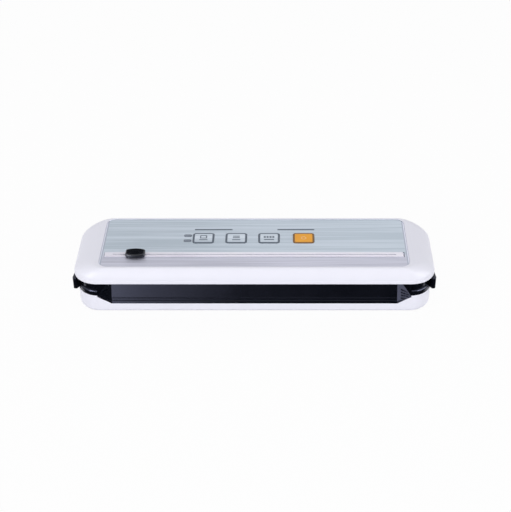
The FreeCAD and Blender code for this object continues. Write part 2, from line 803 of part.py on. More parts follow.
def make_deck():
    """Black deck: rim with a bead, front ramp, trough, hinge barrels and latch guides."""
    bead = outline_plate(base_inset, shell_top, bead_top)
    bead = bead.makeFillet(bead_round, edges_at(bead, bead_top))
    upper = outline_plate(base_inset + rim_step, shell_top, deck_top)
    upper = upper.makeChamfer(deck_chamfer, edges_at(upper, deck_top))
    lip_inset = base_inset + rim_step + deck_chamfer
    lip = outline_plate(lip_inset, deck_under, lid_bottom - rim_lip_gap)
    lip = lip.cut(outline_plate(lip_inset + rim_lip, deck_under - spare, lid_bottom))
    cap = fused([bead, upper, lip])
    cap = cap.cut(outline_plate(base_inset + rim_step + base_wall, shell_top - spare, deck_under))
    inner_front = base_front + base_wall + ramp_gap
    nose = front_trapezoid(ramp_gap, base_front, inner_front)
    wall = ramp_hollow(ramp_wall).common(outline_plate(base_inset + base_wall + ramp_gap, 0, deck_top))
    tray = rounded_plate(-trough_half - trough_wall, trough_half + trough_wall,
                         trough_front - trough_wall, trough_back + trough_wall,
                         trough_corner + trough_wall, trough_floor - trough_wall, deck_under + bite)
    extras = [nose, wall, tray]
    for x in hinge_places:
        for side in (-1, 1):
            middle = x + side * (knuckle_length / 2 + knuckle_gap + barrel_length / 2)
            half = barrel_length / 2
            extras.append(rod(knuckle_radius, Vec(middle - half, hinge_y, hinge_z), along_x, barrel_length))
    for x, y in base_screw_places:
        foot = base_bottom + base_boss_height
        extras.append(rod(boss_radius, Vec(x, y, foot), along_z, deck_under + bite - foot))
    guides = []
    guide_x0 = hook_x + hook_clear + guide_wall
    guide_x1 = base_end - rim_step - base_wall
    for y in (neck_y0 - guide_gap - guide_wall, neck_y1 + guide_gap):
        guides.append(box(guide_x0, guide_x1, y, y + guide_wall, latch_z0, deck_under + bite))
    stop_x = post_inner - spring_length
    guides.append(box(stop_x - spring_wall, stop_x, neck_y0, neck_y1, latch_z0, deck_under + bite))
    for guide in guides:
        extras += both_ends(guide)
    deck = fused([cap] + extras)
    deck = deck.cut(ramp_hollow(0.0))
    ridges = []
    for index in range(2):
        z = ramp_low + ridge_rise + index * ridge_pitch
        y = base_front + ramp_slope * (z - ramp_low)
        ridges.append(rod(ridge_size, Vec(-ramp_end, y, z), along_x, 2 * ramp_end))
    deck = fused([deck] + ridges)
    cutters = [
        rounded_plate(-trough_half, trough_half, trough_front, trough_back, trough_corner,
                      trough_floor, deck_top + spare),
        ring(gasket_inner - press_gap, trough_front - gasket_margin + press_gap,
             trough_back + gasket_margin - press_gap, gasket_width + 2 * press_gap,
             trough_corner, bar_seat, deck_top + spare),
        box(-bar_half - press_gap, bar_half + press_gap, bar_front - press_gap,
            bar_front + bar_width + press_gap, bar_seat, deck_top + spare),
        rod(nipple_radius + press_gap, Vec(nipple_x, trough_back - spare, nipple_z), along_y,
            trough_wall + 2 * spare),
    ]
    for x in hinge_places:
        half = knuckle_length / 2 + knuckle_gap
        cutters.append(rod(knuckle_radius + knuckle_gap, Vec(x - half, hinge_y, hinge_z), along_x, 2 * half))
        cutters.append(box(x - half, x + half, hinge_y - knuckle_radius - knuckle_gap, back_y,
                           hinge_z, lid_bottom))
        reach = half + barrel_length
        cutters.append(rod(hinge_pin_radius + press_gap, Vec(x - reach, hinge_y, hinge_z),
                           along_x, 2 * reach))
    for x, y in base_screw_places:
        cutters.append(rod(screw_radius + screw_gap, Vec(x, y, base_bottom), along_z,
                           base_boss_height + screw_entry + spare))
    hook_middle = (neck_y0 + neck_y1) / 2
    hook_half = hook_width / 2 + hook_slot_gap
    latch_cuts = [
        latch_slot(),
        box(hook_x - hook_thickness - hook_slot_gap, hook_x + hook_slot_gap,
            hook_middle - hook_half, hook_middle + hook_half, deck_under - spare, deck_top + spare),
    ]
    for cutter in latch_cuts:
        cutters += both_ends(cutter)
    return without(deck, cutters)


def latch_slot():
    """Room in the deck's rim for the right-hand latch and its travel."""
    room = latch_travel + latch_gap
    low = shell_top - spare
    points = [
        Vec(cap_inner - room, latch_y0 + latch_taper, low),
        Vec(latch_shoulder - latch_tip - room, latch_y0 - latch_gap, low),
        Vec(latch_peak, latch_y0 - latch_gap, low),
        Vec(latch_peak, latch_y1 + latch_gap, low),
        Vec(cap_inner - room, latch_y1 + latch_gap, low),
    ]
    face = Part.Face(Part.makePolygon(points + points[:1]))
    return face.extrude(Vec(0, 0, latch_z1 + latch_gap - low))


def make_latch():
    """Right-hand latch: curved blade outside, neck under the lid's hook, post and nose behind it."""
    points = [
        Vec(cap_inner, latch_y0 + latch_taper, latch_z0),
        Vec(latch_shoulder - latch_tip, latch_y0, latch_z0),
        Vec(latch_shoulder, latch_y0, latch_z0),
        Vec(latch_peak, latch_y0 + latch_bulge_at, latch_z0),
        Vec(end_x - latch_bend, latch_y0 + latch_bend_at, latch_z0),
        Vec(end_x - latch_tail_inset, latch_y1, latch_z0),
        Vec(cap_inner, latch_y1, latch_z0),
    ]
    blade = Part.Face(Part.makePolygon(points + points[:1]))
    cap = blade.extrude(Vec(0, 0, latch_z1 - latch_z0))
    upright = [edge for edge in cap.Edges if edge.BoundBox.ZLength > spare]
    cap = cap.makeFillet(latch_tip_round, [edge for edge in upright
                                           if abs(edge.BoundBox.XMax - latch_shoulder) < press_gap])
    upright = [edge for edge in cap.Edges if edge.BoundBox.ZLength > spare]
    cap = cap.makeFillet(latch_crest_round, [edge for edge in upright
                                             if edge.BoundBox.XMin > latch_peak - press_gap
                                             or abs(edge.BoundBox.XMin - end_x + latch_bend) < press_gap])
    outer_edges = [edge for edge in edges_at(cap, latch_z0) + edges_at(cap, latch_z1)
                   if edge.BoundBox.XMax > cap_inner + spare]
    cap = cap.makeChamfer(latch_chamfer, outer_edges)
    post_outer = post_inner + latch_post
    nose_z1 = nose_z0 + latch_nose
    neck = box(post_inner, cap_inner + bite, neck_y0, neck_y1, latch_z0, neck_top)
    post = box(post_inner, post_outer, neck_y0, neck_y1, latch_z0, nose_z1)
    nose_middle = (neck_y0 + neck_y1) / 2
    nose = box(post_outer - bite, post_outer + latch_nose, nose_middle - nose_reach / 2,
               nose_middle + nose_reach / 2, nose_z0, nose_z1)
    return fused([cap, neck, post, nose])


def make_latch_spring():
    """Coil spring between the deck's stop and the right-hand latch's post."""
    length = spring_length - 2 * spring_wire
    start = post_inner - spring_length + spring_wire
    helix = Part.makeHelix(length / spring_turns, length, spring_radius)
    angles = [2 * math.pi * side / spring_wire_sides for side in range(spring_wire_sides + 1)]
    profile = Part.makePolygon([
        Vec(spring_radius + spring_wire * math.cos(angle), 0, spring_wire * math.sin(angle))
        for angle in angles])
    coil = Part.Wire(helix.Edges).makePipeShell([profile], True, True)
    coil.rotate(Vec(0, 0, 0), along_y, 90)
    coil.translate(Vec(start, (neck_y0 + neck_y1) / 2, (latch_z0 + nose_z0 + latch_nose) / 2))
    return coil


def make_base_shell():
    outer = outline_plate(base_inset, base_bottom, shell_top)
    outer = outer.makeFillet(base_round, edges_at(outer, base_bottom))
    inner = outline_plate(base_inset + base_wall, floor_top, shell_top + spare)
    inner = inner.makeChamfer(base_round - base_wall, edges_at(inner, floor_top))
    shell = outer.cut(inner)
    extras = []
    for x, y in base_screw_places:
        extras.append(rod(base_boss_radius, Vec(x, y, floor_top - bite), along_z,
                          base_bottom + base_boss_height - floor_top + bite))
    for x in (motor_x + cradle_inset, motor_end - cradle_inset):
        extras.append(box(x - cradle_thickness / 2, x + cradle_thickness / 2, motor_y - motor_radius,
                          motor_y + motor_radius, floor_top - bite, motor_z - motor_radius / 2))
    for x, y in supply_corners:
        extras.append(rod(standoff_radius, Vec(x, y, floor_top - bite), along_z, supply_lift + bite))
    shell = fused([shell] + extras)
    cutters = [
        front_trapezoid(0.0, base_front - spare, base_front + base_wall + ramp_gap),
        rod(motor_radius, Vec(motor_x, motor_y, motor_z), along_x, motor_length),
        box(inlet_x - inlet_length / 2, inlet_x + inlet_length / 2, base_back - base_wall - spare,
            base_back + spare, inlet_z - inlet_height / 2, inlet_z + inlet_height / 2),
    ]
    for x, y in base_screw_places:
        cutters.append(rod(screw_radius + screw_hole_gap, Vec(x, y, base_bottom), along_z,
                           base_boss_height + spare))
        cutters.append(rod(screw_head_radius + screw_hole_gap, Vec(x, y, base_bottom - spare), along_z,
                           screw_sink + spare))
    for x, y in foot_places:
        cutters.append(rod(foot_radius, Vec(x, y, base_bottom - spare), along_z, foot_sunk + spare))
    return without(shell, cutters)


def make_feet():
    feet = []
    for x, y in foot_places:
        foot = rod(foot_radius, Vec(x, y, 0), along_z, foot_stand + foot_sunk)
        feet.append(foot.makeChamfer(foot_chamfer, edges_at(foot, 0.0)))
    return Part.makeCompound(feet)


def make_base_screws():
    screws = []
    seat = base_bottom + screw_sink
    length = base_boss_height - screw_sink + screw_entry
    for x, y in base_screw_places:
        head = rod(screw_head_radius, Vec(x, y, seat), -along_z, screw_head_height)
        head = head.makeChamfer(screw_head_height / 2, edges_at(head, seat - screw_head_height))
        shank = rod(screw_radius, Vec(x, y, seat), along_z, length)
        screws.append(head.fuse(shank).removeSplitter())
    return Part.makeCompound(screws)


def make_lower_gasket():
    return ring(gasket_inner, trough_front - gasket_margin, trough_back + gasket_margin, gasket_width,
                trough_corner, bar_seat, lid_bottom)


def make_sealing_bar():
    return box(-bar_half, bar_half, bar_front, bar_front + bar_width, bar_seat, bar_top)


def heater_form(reach):
    return box(-reach, reach, bar_middle - heater_width / 2, bar_middle + heater_width / 2,
               bar_top, bar_top + heater_thickness)


def make_heating_strip():
    return heater_form(bar_half)


def make_nonstick_tape():
    """Tape over the heating strip and down onto the bar on both sides of it."""
    tape = box(-bar_half, bar_half, bar_front, bar_front + bar_width, bar_top, tape_top)
    return tape.cut(heater_form(bar_half + spare))


def make_hinge_pins():
    reach = knuckle_length / 2 + knuckle_gap + barrel_length
    pins = [rod(hinge_pin_radius, Vec(x - reach, hinge_y, hinge_z), along_x, 2 * reach)
            for x in hinge_places]
    return Part.makeCompound(pins)


def make_air_nipple():
    length = nipple_end - trough_back
    start = Vec(nipple_x, trough_back, nipple_z)
    return rod(nipple_radius, start, along_y, length).cut(rod(nipple_bore, start, along_y, length))


def make_pump_motor():
    can = rod(motor_radius, Vec(motor_x, motor_y, motor_z), along_x, motor_length)
    rim = [edge for edge in can.Edges if edge.BoundBox.XMax < motor_x + spare]
    can = can.makeChamfer(case_chamfer, rim)
    boss = rod(shaft_boss_radius, Vec(motor_x - shaft_boss_length, motor_y, motor_z), along_x,
               shaft_boss_length + bite)
    return fused([can, boss])


def make_pump_head():
    """Diaphragm pump block on the motor's end, with its nozzle towards the trough."""
    block = box(motor_end, motor_end + pump_head_length, pump_head_front,
                pump_head_front + pump_head_depth, pump_head_low, pump_head_high)
    block = block.makeChamfer(case_chamfer, block.Edges)
    flange = rod(motor_radius, Vec(motor_end, motor_y, motor_z), along_x, pump_flange_length)
    start = Vec(nipple_x, nozzle_start, nipple_z)
    nozzle = rod(nipple_radius, start, along_y, nozzle_length + nozzle_root)
    return fused([block, flange, nozzle]).cut(rod(nipple_bore, start, along_y, nozzle_length))


def make_air_hose():
    start = nipple_end - hose_overlap
    length = nozzle_start + hose_overlap - start
    outer = rod(nipple_radius + hose_wall, Vec(nipple_x, start, nipple_z), along_y, length)
    return outer.cut(rod(nipple_radius + press_gap, Vec(nipple_x, start, nipple_z), along_y, length))


def make_motor_clamp():
    """Steel strap over the motor, with a foot on the floor in front of it."""
    x0 = motor_x + motor_length / 2 - clamp_width / 2
    arch = rod(motor_radius + clamp_thickness, Vec(x0, motor_y, motor_z), along_x, clamp_width)
    legs = box(x0, x0 + clamp_width, motor_y - motor_radius - clamp_thickness,
               motor_y + motor_radius + clamp_thickness, floor_top, motor_z)
    foot = box(x0, x0 + clamp_width, motor_y - motor_radius - clamp_foot, motor_y - motor_radius,
               floor_top, floor_top + clamp_thickness)
    strap = fused([arch, legs, foot])
    strap = strap.cut(rod(motor_radius + press_gap, Vec(x0 - spare, motor_y, motor_z), along_x,
                          clamp_width + 2 * spare))
    inside = box(x0 - spare, x0 + clamp_width + spare, motor_y - motor_radius, motor_y + motor_radius,
                 floor_top - spare, motor_z)
    return strap.cut(inside)


def make_transformer_core():
    """Laminated core: three limbs between two yokes, standing on the floor."""
    y0 = core_y - core_stack / 2
    block = box(core_x - core_length / 2, core_x + core_length / 2, y0, y0 + core_stack,
                floor_top, core_top)
    windows = []
    for side in (-1, 1):
        middle = core_x + side * (core_length / 2 - core_limb - core_window / 2)
        windows.append(box(middle - core_window / 2, middle + core_window / 2, y0 - spare,
                           y0 + core_stack + spare, floor_top + core_limb, core_top - core_limb))
    return without(block, windows)


def make_transformer_coil():
    limb = core_length / 2 - core_limb - core_window
    reach_x = limb + core_window - coil_gap
    reach_y = core_stack / 2 + coil_overhang
    low = floor_top + core_limb + coil_gap
    high = core_top - core_limb - coil_gap
    outer = box(core_x - reach_x, core_x + reach_x, core_y - reach_y, core_y + reach_y, low, high)
    inner = box(core_x - limb - coil_gap, core_x + limb + coil_gap, core_y - core_stack / 2 - coil_gap,
                core_y + core_stack / 2 + coil_gap, low - spare, high + spare)
    return outer.cut(inner)


def make_power_board():
    return box(supply_x - supply_length / 2, supply_x + supply_length / 2, supply_y - supply_depth / 2,
               supply_y + supply_depth / 2, supply_low, supply_top)


def make_relay():
    x = supply_x + supply_length / 4
    relay = box(x - relay_length / 2, x + relay_length / 2, supply_y - relay_depth / 2,
                supply_y + relay_depth / 2, supply_top, supply_top + relay_height)
    return relay.makeChamfer(component_chamfer, relay.Edges)


def make_capacitor():
    can = rod(capacitor_radius, Vec(supply_x, supply_y, supply_top), along_z, capacitor_top - supply_top)
    return can.makeChamfer(component_chamfer, edges_at(can, capacitor_top))


def make_terminal_block():
    x = supply_x - supply_length / 3
    return box(x - terminal_length / 2, x + terminal_length / 2, supply_y - terminal_depth / 2,
               supply_y + terminal_depth / 2, supply_top, supply_top + terminal_height)


def socket_form(y0, y1):
    """The two-pole socket's oval hollow."""
    radius = inlet_socket_height / 2
    half = inlet_socket_length / 2 - radius
    middle = box(inlet_x - half, inlet_x + half, y0, y1, inlet_z - radius, inlet_z + radius)
    rounds = [rod(radius, Vec(inlet_x + side * half, y0, inlet_z), along_y, y1 - y0) for side in (-1, 1)]
    return fused([middle] + rounds)


def make_mains_inlet():
    half_x = inlet_length / 2
    half_z = inlet_height / 2
    body = box(inlet_x - half_x + press_gap, inlet_x + half_x - press_gap, base_back - inlet_depth, base_back,
               inlet_z - half_z + press_gap, inlet_z + half_z - press_gap)
    flange = box(inlet_x - half_x - inlet_flange, inlet_x + half_x + inlet_flange, base_back, inlet_face,
                 inlet_z - half_z - inlet_flange, inlet_z + half_z + inlet_flange)
    upright = [edge for edge in flange.Edges if edge.BoundBox.YLength > inlet_flange_thickness / 2]
    flange = flange.makeFillet(inlet_flange / 2, upright)
    cutters = [socket_form(inlet_face - inlet_socket_depth, inlet_face + spare)]
    for side in (-1, 1):
        cutters.append(rod(inlet_pin_radius + press_gap, inlet_pin_start(side), along_y, inlet_depth))
    return without(fused([body, flange]), cutters)


def inlet_pin_start(side):
    back = inlet_face - inlet_socket_depth - inlet_pin_root
    return Vec(inlet_x + side * inlet_pin_pitch / 2, back, inlet_z)


def make_inlet_pins():
    pins = []
    for side in (-1, 1):
        pin = rod(inlet_pin_radius, inlet_pin_start(side), along_y, inlet_pin_root + inlet_pin_length)
        tip = [edge for edge in pin.Edges
               if edge.BoundBox.YMin > inlet_pin_start(side).y + inlet_pin_length]
        pins.append(pin.makeChamfer(inlet_pin_radius / 2, tip))
    return Part.makeCompound(pins)


latches = both_ends(make_latch())
springs = both_ends(make_latch_spring())

pieces = {
    "base_shell": make_base_shell(),
    "deck": make_deck(),
    "sealing_bar": make_sealing_bar(),
    "heating_strip": make_heating_strip(),
    "nonstick_tape": make_nonstick_tape(),
    "lower_gasket": make_lower_gasket(),
    "air_nipple": make_air_nipple(),
    "air_hose": make_air_hose(),
    "pump_motor": make_pump_motor(),
    "pump_head": make_pump_head(),
    "motor_clamp": make_motor_clamp(),
    "transformer_core": make_transformer_core(),
    "transformer_coil": make_transformer_coil(),
    "power_board": make_power_board(),
    "board_relay": make_relay(),
    "board_capacitor": make_capacitor(),
    "terminal_block": make_terminal_block(),
    "mains_inlet": make_mains_inlet(),
    "inlet_pins": make_inlet_pins(),
    "hinge_pins": make_hinge_pins(),
    "rubber_feet": make_feet(),
    "base_screws": make_base_screws(),
    "latch_spring_right": springs[0],
    "latch_spring_left": springs[1],
    "latch_right": latches[0],
    "latch_left": latches[1],
    "lid_shell": make_lid_shell(),
    "brushed_panel": make_brushed_panel(),
    "lid_liner": make_lid_liner(),
    "liner_screws": make_liner_screws(),
    "upper_gasket": make_upper_gasket(),
    "press_strip": make_press_strip(),
    "control_board": make_control_board(),
    "tact_switches": make_tact_switches(),
    "indicator_windows": make_indicator_windows(),
    "rail_pin": make_rail_pin(),
    "cutter_rail": make_cutter_rail(),
    "cutter_knob": make_cutter_knob(),
    "cutter_blade": make_cutter_blade(),
    "key_vacuum": make_key(key_places[0]),
    "key_seal": make_key(key_places[1]),
    "key_mode": make_key(key_places[2]),
    "key_start": make_key(key_places[3]),
}

os.makedirs("parts", exist_ok=True)
for name, shape in pieces.items():
    shape.exportStep("parts/" + name + ".step")
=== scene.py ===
import bmesh
import bpy
import math
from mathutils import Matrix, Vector


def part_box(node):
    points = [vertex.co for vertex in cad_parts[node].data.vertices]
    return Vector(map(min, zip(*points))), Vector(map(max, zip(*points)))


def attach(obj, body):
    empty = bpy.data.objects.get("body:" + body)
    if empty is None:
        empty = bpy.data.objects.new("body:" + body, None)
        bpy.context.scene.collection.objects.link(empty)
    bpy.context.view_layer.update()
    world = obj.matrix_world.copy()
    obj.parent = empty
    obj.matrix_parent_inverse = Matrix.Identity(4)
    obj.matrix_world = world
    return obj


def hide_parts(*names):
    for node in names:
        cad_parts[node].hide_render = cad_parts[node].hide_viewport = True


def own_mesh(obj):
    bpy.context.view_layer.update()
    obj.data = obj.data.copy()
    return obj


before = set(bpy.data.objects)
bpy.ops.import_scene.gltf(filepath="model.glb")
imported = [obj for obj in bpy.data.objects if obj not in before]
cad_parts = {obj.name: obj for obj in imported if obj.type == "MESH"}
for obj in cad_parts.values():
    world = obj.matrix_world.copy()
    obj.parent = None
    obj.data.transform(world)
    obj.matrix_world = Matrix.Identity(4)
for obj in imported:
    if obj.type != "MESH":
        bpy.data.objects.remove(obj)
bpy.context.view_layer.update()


# White base shell. A shallow tray of white ABS, injection-moulded in a polished tool and left
# uncoated. It stands on four feet, and six screws from below hold the black deck to it.

MM = 0.001
tone_span = (0.3, 0.7)  # heights of a pattern between which its first tone turns into its second


def linear(code):
    """An sRGB hex colour as the linear values that a shader takes."""
    values = []
    for start in (1, 3, 5):
        level = int(code[start:start + 2], 16) / 255
        values.append(level / 12.92 if level <= 0.04045 else ((level + 0.055) / 1.055) ** 2.4)
    return (*values, 1.0)


def add_node(tree, kind, settings, links):
    """Add a node, give its properties, inputs or colour stops their values, and link sockets to it."""
    made = tree.nodes.new(kind)
    for name, value in settings.items():
        if name == "stops":
            marks = made.color_ramp.elements
            marks.remove(marks[1])
            for position, code in value[1:]:
                marks.new(position).color = linear(code)
            marks[0].position, marks[0].color = value[0][0], linear(value[0][1])
        elif isinstance(name, str) and hasattr(made, name):
            setattr(made, name, value)
        else:
            made.inputs[name].default_value = value
    for name, source in links.items():
        tree.links.new(source, made.inputs[name])
    return made


def begin_material(name, constants):
    """A new material, with what is the same all over its surface set on its shader."""
    material = bpy.data.materials.new(name)
    material.use_nodes = True
    tree = material.node_tree
    shader = tree.nodes["Principled BSDF"]
    for socket, value in constants.items():
        shader.inputs[socket].default_value = value
    place = add_node(tree, "ShaderNodeTexCoord", {}, {})
    return material, tree, shader, place


def moulded(name, colours, roughness, patch_mm, grain_mm, grain_height_mm, constants):
    """A moulded, rolled or cast surface: slow patches in colour and gloss over a fine grain."""
    material, tree, shader, place = begin_material(name, constants)
    patches = add_node(tree, "ShaderNodeTexNoise", {"Scale": 1 / (patch_mm * MM), "Detail": 3.0},
                       {"Vector": place.outputs["Object"]})
    tone = add_node(tree, "ShaderNodeValToRGB", {"stops": list(zip(tone_span, colours))},
                    {"Fac": patches.outputs["Fac"]})
    tree.links.new(tone.outputs["Color"], shader.inputs["Base Color"])
    gloss = add_node(tree, "ShaderNodeMapRange", {"From Min": tone_span[0], "From Max": tone_span[1],
                     "To Min": roughness[0], "To Max": roughness[1]}, {"Value": patches.outputs["Fac"]})
    tree.links.new(gloss.outputs["Result"], shader.inputs["Roughness"])
    grain = add_node(tree, "ShaderNodeTexNoise", {"Scale": 1 / (grain_mm * MM), "Detail": 2.0},
                     {"Vector": place.outputs["Object"]})
    relief = add_node(tree, "ShaderNodeBump", {"Distance": grain_height_mm * MM},
                      {"Height": grain.outputs["Fac"]})
    tree.links.new(relief.outputs["Normal"], shader.inputs["Normal"])
    return material


def dress(names, material):
    """Give CAD nodes their material."""
    for name in names:
        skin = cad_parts[name].data.materials
        skin.clear()
        skin.append(material)


# ABS from a polished tool: a soft, even sheen, with the slow ripple that moulded walls keep.
white_abs = moulded("white_abs_moulded", colours=("#EDEDF8", "#EFEFFA"), roughness=(0.36, 0.42),
                    patch_mm=60, grain_mm=4.0, grain_height_mm=0.004,
                    constants={"IOR": 1.53, "Specular IOR Level": 0.3})
dress(["base_shell"], white_abs)


# Rubber feet and base screws. The feet are moulded discs pressed into the floor of the shell, and
# the screws are zinc-plated steel with a cross recess, sunk in the bosses that hold the deck.

# Moulded rubber: dull and nearly black, with a fine bloom on it.
rubber_black = moulded("rubber_moulded_black", colours=("#17171A", "#222226"), roughness=(0.7, 0.85),
                       patch_mm=6, grain_mm=0.5, grain_height_mm=0.02, constants={"IOR": 1.5})
dress(["rubber_feet"], rubber_black)

# Zinc over steel: bright but cloudy, with the fine crystals of the plating.
zinc_steel = moulded("steel_zinc_plated", colours=("#A9ACB0", "#C6C9CE"), roughness=(0.26, 0.42),
                     patch_mm=2.5, grain_mm=0.25, grain_height_mm=0.004, constants={"Metallic": 1.0})
head_radius, head_face, head_edge, head_height = 2.7 * MM, 1.9 * MM, 0.9 * MM, 1.6 * MM
shank_radius, point_radius, point_length = 1.35 * MM, 0.4 * MM, 1.2 * MM
recess_arm, recess_half, recess_depth, recess_taper = 1.5 * MM, 0.34 * MM, 0.9 * MM, 0.75
screw_sides = 28
weld_distance = 0.001 * MM  # points of a node that are nearer than this are one point


def finish_piece(name, maker, material, body):
    """Turn a filled bmesh into a piece that rides on a body of the machine."""
    mesh = bpy.data.meshes.new(name)
    bmesh.ops.recalc_face_normals(maker, faces=maker.faces)
    maker.to_mesh(mesh)
    maker.free()
    mesh.materials.append(material)
    piece = bpy.data.objects.new(name, mesh)
    bpy.context.scene.collection.objects.link(piece)
    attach(piece, body)
    return piece


def join_loops(maker, one, two):
    """Faces between two loops of as many points."""
    for index in range(len(one)):
        after = (index + 1) % len(one)
        maker.faces.new((one[index], one[after], two[after], two[index]))


def solid_middles(node):
    """Middle of each separate solid of a CAD node, seen from above."""
    copy = bmesh.new()
    copy.from_mesh(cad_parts[node].data)
    bmesh.ops.remove_doubles(copy, verts=copy.verts, dist=weld_distance)
    waiting = set(copy.verts)
    middles = []
    while waiting:
        grown = [waiting.pop()]
        for vert in grown:
            for edge in vert.link_edges:
                other = edge.other_vert(vert)
                if other in waiting:
                    waiting.remove(other)
                    grown.append(other)
        spans = [[vert.co[axis] for vert in grown] for axis in (0, 1)]
        middles.append([(min(span) + max(span)) / 2 for span in spans])
    copy.free()
    return sorted(middles)


def add_cross_screw(maker, x, y, low, high):
    """A pan-head screw, head down, with a cross recess in its head."""
    angles = [math.tau / screw_sides * index for index in range(screw_sides)]
    rings = []
    for radius, z in ((head_face, low), ((head_face + 2 * head_radius) / 3, low + head_edge / 3),
                      (head_radius, low + head_edge), (head_radius, low + head_height),
                      (shank_radius, low + head_height), (shank_radius, high - point_length),
                      (point_radius, high)):
        rings.append([maker.verts.new((x + radius * math.cos(angle), y + radius * math.sin(angle), z))
                      for angle in angles])
    for one, two in zip(rings, rings[1:]):
        join_loops(maker, one, two)
    maker.faces.new(rings[-1])
    arm_end = ((recess_arm, -recess_half), (recess_arm, recess_half), (recess_half, recess_half))
    corners = []
    for quarter in range(4):
        angle = quarter * math.pi / 2
        for out, across in arm_end:
            corners.append((out * math.cos(angle) - across * math.sin(angle),
                            out * math.sin(angle) + across * math.cos(angle)))
    mouth = [maker.verts.new((x + dx, y + dy, low)) for dx, dy in corners]
    bed = [maker.verts.new((x + recess_taper * dx, y + recess_taper * dy, low + recess_depth))
           for dx, dy in corners]
    join_loops(maker, mouth, bed)
    maker.faces.new(bed)
    rims = [maker.edges.get((loop[index - 1], loop[index]))
            for loop in (rings[0], mouth) for index in range(len(loop))]
    bmesh.ops.triangle_fill(maker, use_beauty=True, edges=rims)


def make_screws(node, body):
    """The screws of one node with detailed heads, in place of its plain ones."""
    low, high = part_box(node)
    maker = bmesh.new()
    for x, y in solid_middles(node):
        add_cross_screw(maker, x, y, low.z, high.z)
    piece = finish_piece(node + "_crossed", maker, zinc_steel, body)
    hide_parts(node)


make_screws("base_screws", "base")


# Pump. A small motor in a steel can drives a diaphragm pump; a strap holds it to the floor, and a
# short silicone hose joins the pump's nozzle to the trough.

dress(["pump_motor", "motor_clamp"], zinc_steel)
# Glass-filled nylon: black and dull, with the swirl of its fibres.
nylon_black = moulded("nylon_glass_filled_black", colours=("#1D1D21", "#2A2A2F"), roughness=(0.5, 0.62),
                      patch_mm=8, grain_mm=0.5, grain_height_mm=0.02, constants={"IOR": 1.53})
dress(["pump_head", "air_nipple"], nylon_black)
# Extruded silicone: milky and soft, so some light goes in and comes out again.
silicone_milky = moulded("silicone_extruded_milky", colours=("#CDCDC6", "#DADAD4"), roughness=(0.35, 0.45),
                         patch_mm=10, grain_mm=0.5, grain_height_mm=0.005,
                         constants={"IOR": 1.41, "Subsurface Weight": 0.3, "Subsurface Scale": 0.003})
dress(["air_hose"], silicone_milky)


# Transformer. A stack of varnished steel sheets with a winding of enamelled copper wire round its
# middle limb stands on the floor at the left and feeds the heating ribbon.

band = math.tau / 20  # width of one band of a wave texture whose scale is 1
sheet_pitch, turn_pitch, turn_height = 0.5 * MM, 0.8 * MM, 0.2 * MM

# The sheets' edges show as thin dark and light lines; a sheet is 0.5 mm thick.
laminations, tree, shader, place = begin_material("silicon_steel_laminated", {"Metallic": 0.7})
sheets = add_node(tree, "ShaderNodeTexWave", {"bands_direction": "Y", "Scale": band / sheet_pitch,
                  "Distortion": 0.6}, {"Vector": place.outputs["Object"]})
tone = add_node(tree, "ShaderNodeValToRGB", {"stops": list(zip(tone_span, ("#2B2A2C", "#57565A")))},
                {"Fac": sheets.outputs["Fac"]})
tree.links.new(tone.outputs["Color"], shader.inputs["Base Color"])
gloss = add_node(tree, "ShaderNodeMapRange", {"To Min": 0.6, "To Max": 0.4},
                 {"Value": sheets.outputs["Fac"]})
tree.links.new(gloss.outputs["Result"], shader.inputs["Roughness"])
dress(["transformer_core"], laminations)

# Enamelled wire, 0.8 mm thick, lies turn by turn: round ridges, with painted shade in the gaps between them.
winding, tree, shader, place = begin_material("copper_wire_enamelled", {"Metallic": 0.9})
turns = add_node(tree, "ShaderNodeTexWave", {"bands_direction": "Z", "Scale": band / turn_pitch},
                 {"Vector": place.outputs["Object"]})
# The dark end of this tone lies in the gaps between turns: painted shade.
tone = add_node(tree, "ShaderNodeValToRGB", {"stops": list(zip(tone_span, ("#5E2C12", "#B06A38")))},
                {"Fac": turns.outputs["Fac"]})
tree.links.new(tone.outputs["Color"], shader.inputs["Base Color"])
gloss = add_node(tree, "ShaderNodeMapRange", {"To Min": 0.42, "To Max": 0.25},
                 {"Value": turns.outputs["Fac"]})
tree.links.new(gloss.outputs["Result"], shader.inputs["Roughness"])
relief = add_node(tree, "ShaderNodeBump", {"Distance": turn_height}, {"Height": turns.outputs["Fac"]})
tree.links.new(relief.outputs["Normal"], shader.inputs["Normal"])
dress(["transformer_coil"], winding)


# Power board. A glass-laminate board on four posts, with a relay, a capacitor and a terminal block
# soldered to it.

track_block = 6 * MM

# Green solder resist: glossy, a little lighter where copper runs beneath it in blocks of 6 mm.
green_resist, tree, shader, place = begin_material("glass_laminate_green_resist", {"IOR": 1.55})
tracks = add_node(tree, "ShaderNodeTexBrick", {"Scale": 1 / track_block, "Color1": linear("#1B5A34"),
                  "Color2": linear("#236B40"), "Mortar": linear("#123F25"), "Mortar Size": 0.06},
                  {"Vector": place.outputs["Object"]})
tree.links.new(tracks.outputs["Color"], shader.inputs["Base Color"])
gloss = add_node(tree, "ShaderNodeMapRange", {"To Min": 0.28, "To Max": 0.4},
                 {"Value": tracks.outputs["Fac"]})
tree.links.new(gloss.outputs["Result"], shader.inputs["Roughness"])
dress(["power_board"], green_resist)

# Moulded polyester: plain, slightly waxy cases, blue on the relay and terminals, black on the can.
case_blue = moulded("polyester_moulded_blue", colours=("#2A4C8C", "#32569A"), roughness=(0.4, 0.5),
                    patch_mm=6, grain_mm=0.5, grain_height_mm=0.01, constants={"IOR": 1.55})
dress(["board_relay", "terminal_block"], case_blue)
case_black = moulded("polyester_moulded_black", colours=("#1A1B1E", "#232428"), roughness=(0.4, 0.5),
                     patch_mm=6, grain_mm=0.5, grain_height_mm=0.01, constants={"IOR": 1.55})
dress(["board_capacitor"], case_black)


# Mains inlet. A black two-pole socket in the back wall, held by its flange, with two turned brass
# pins for a loose lead.

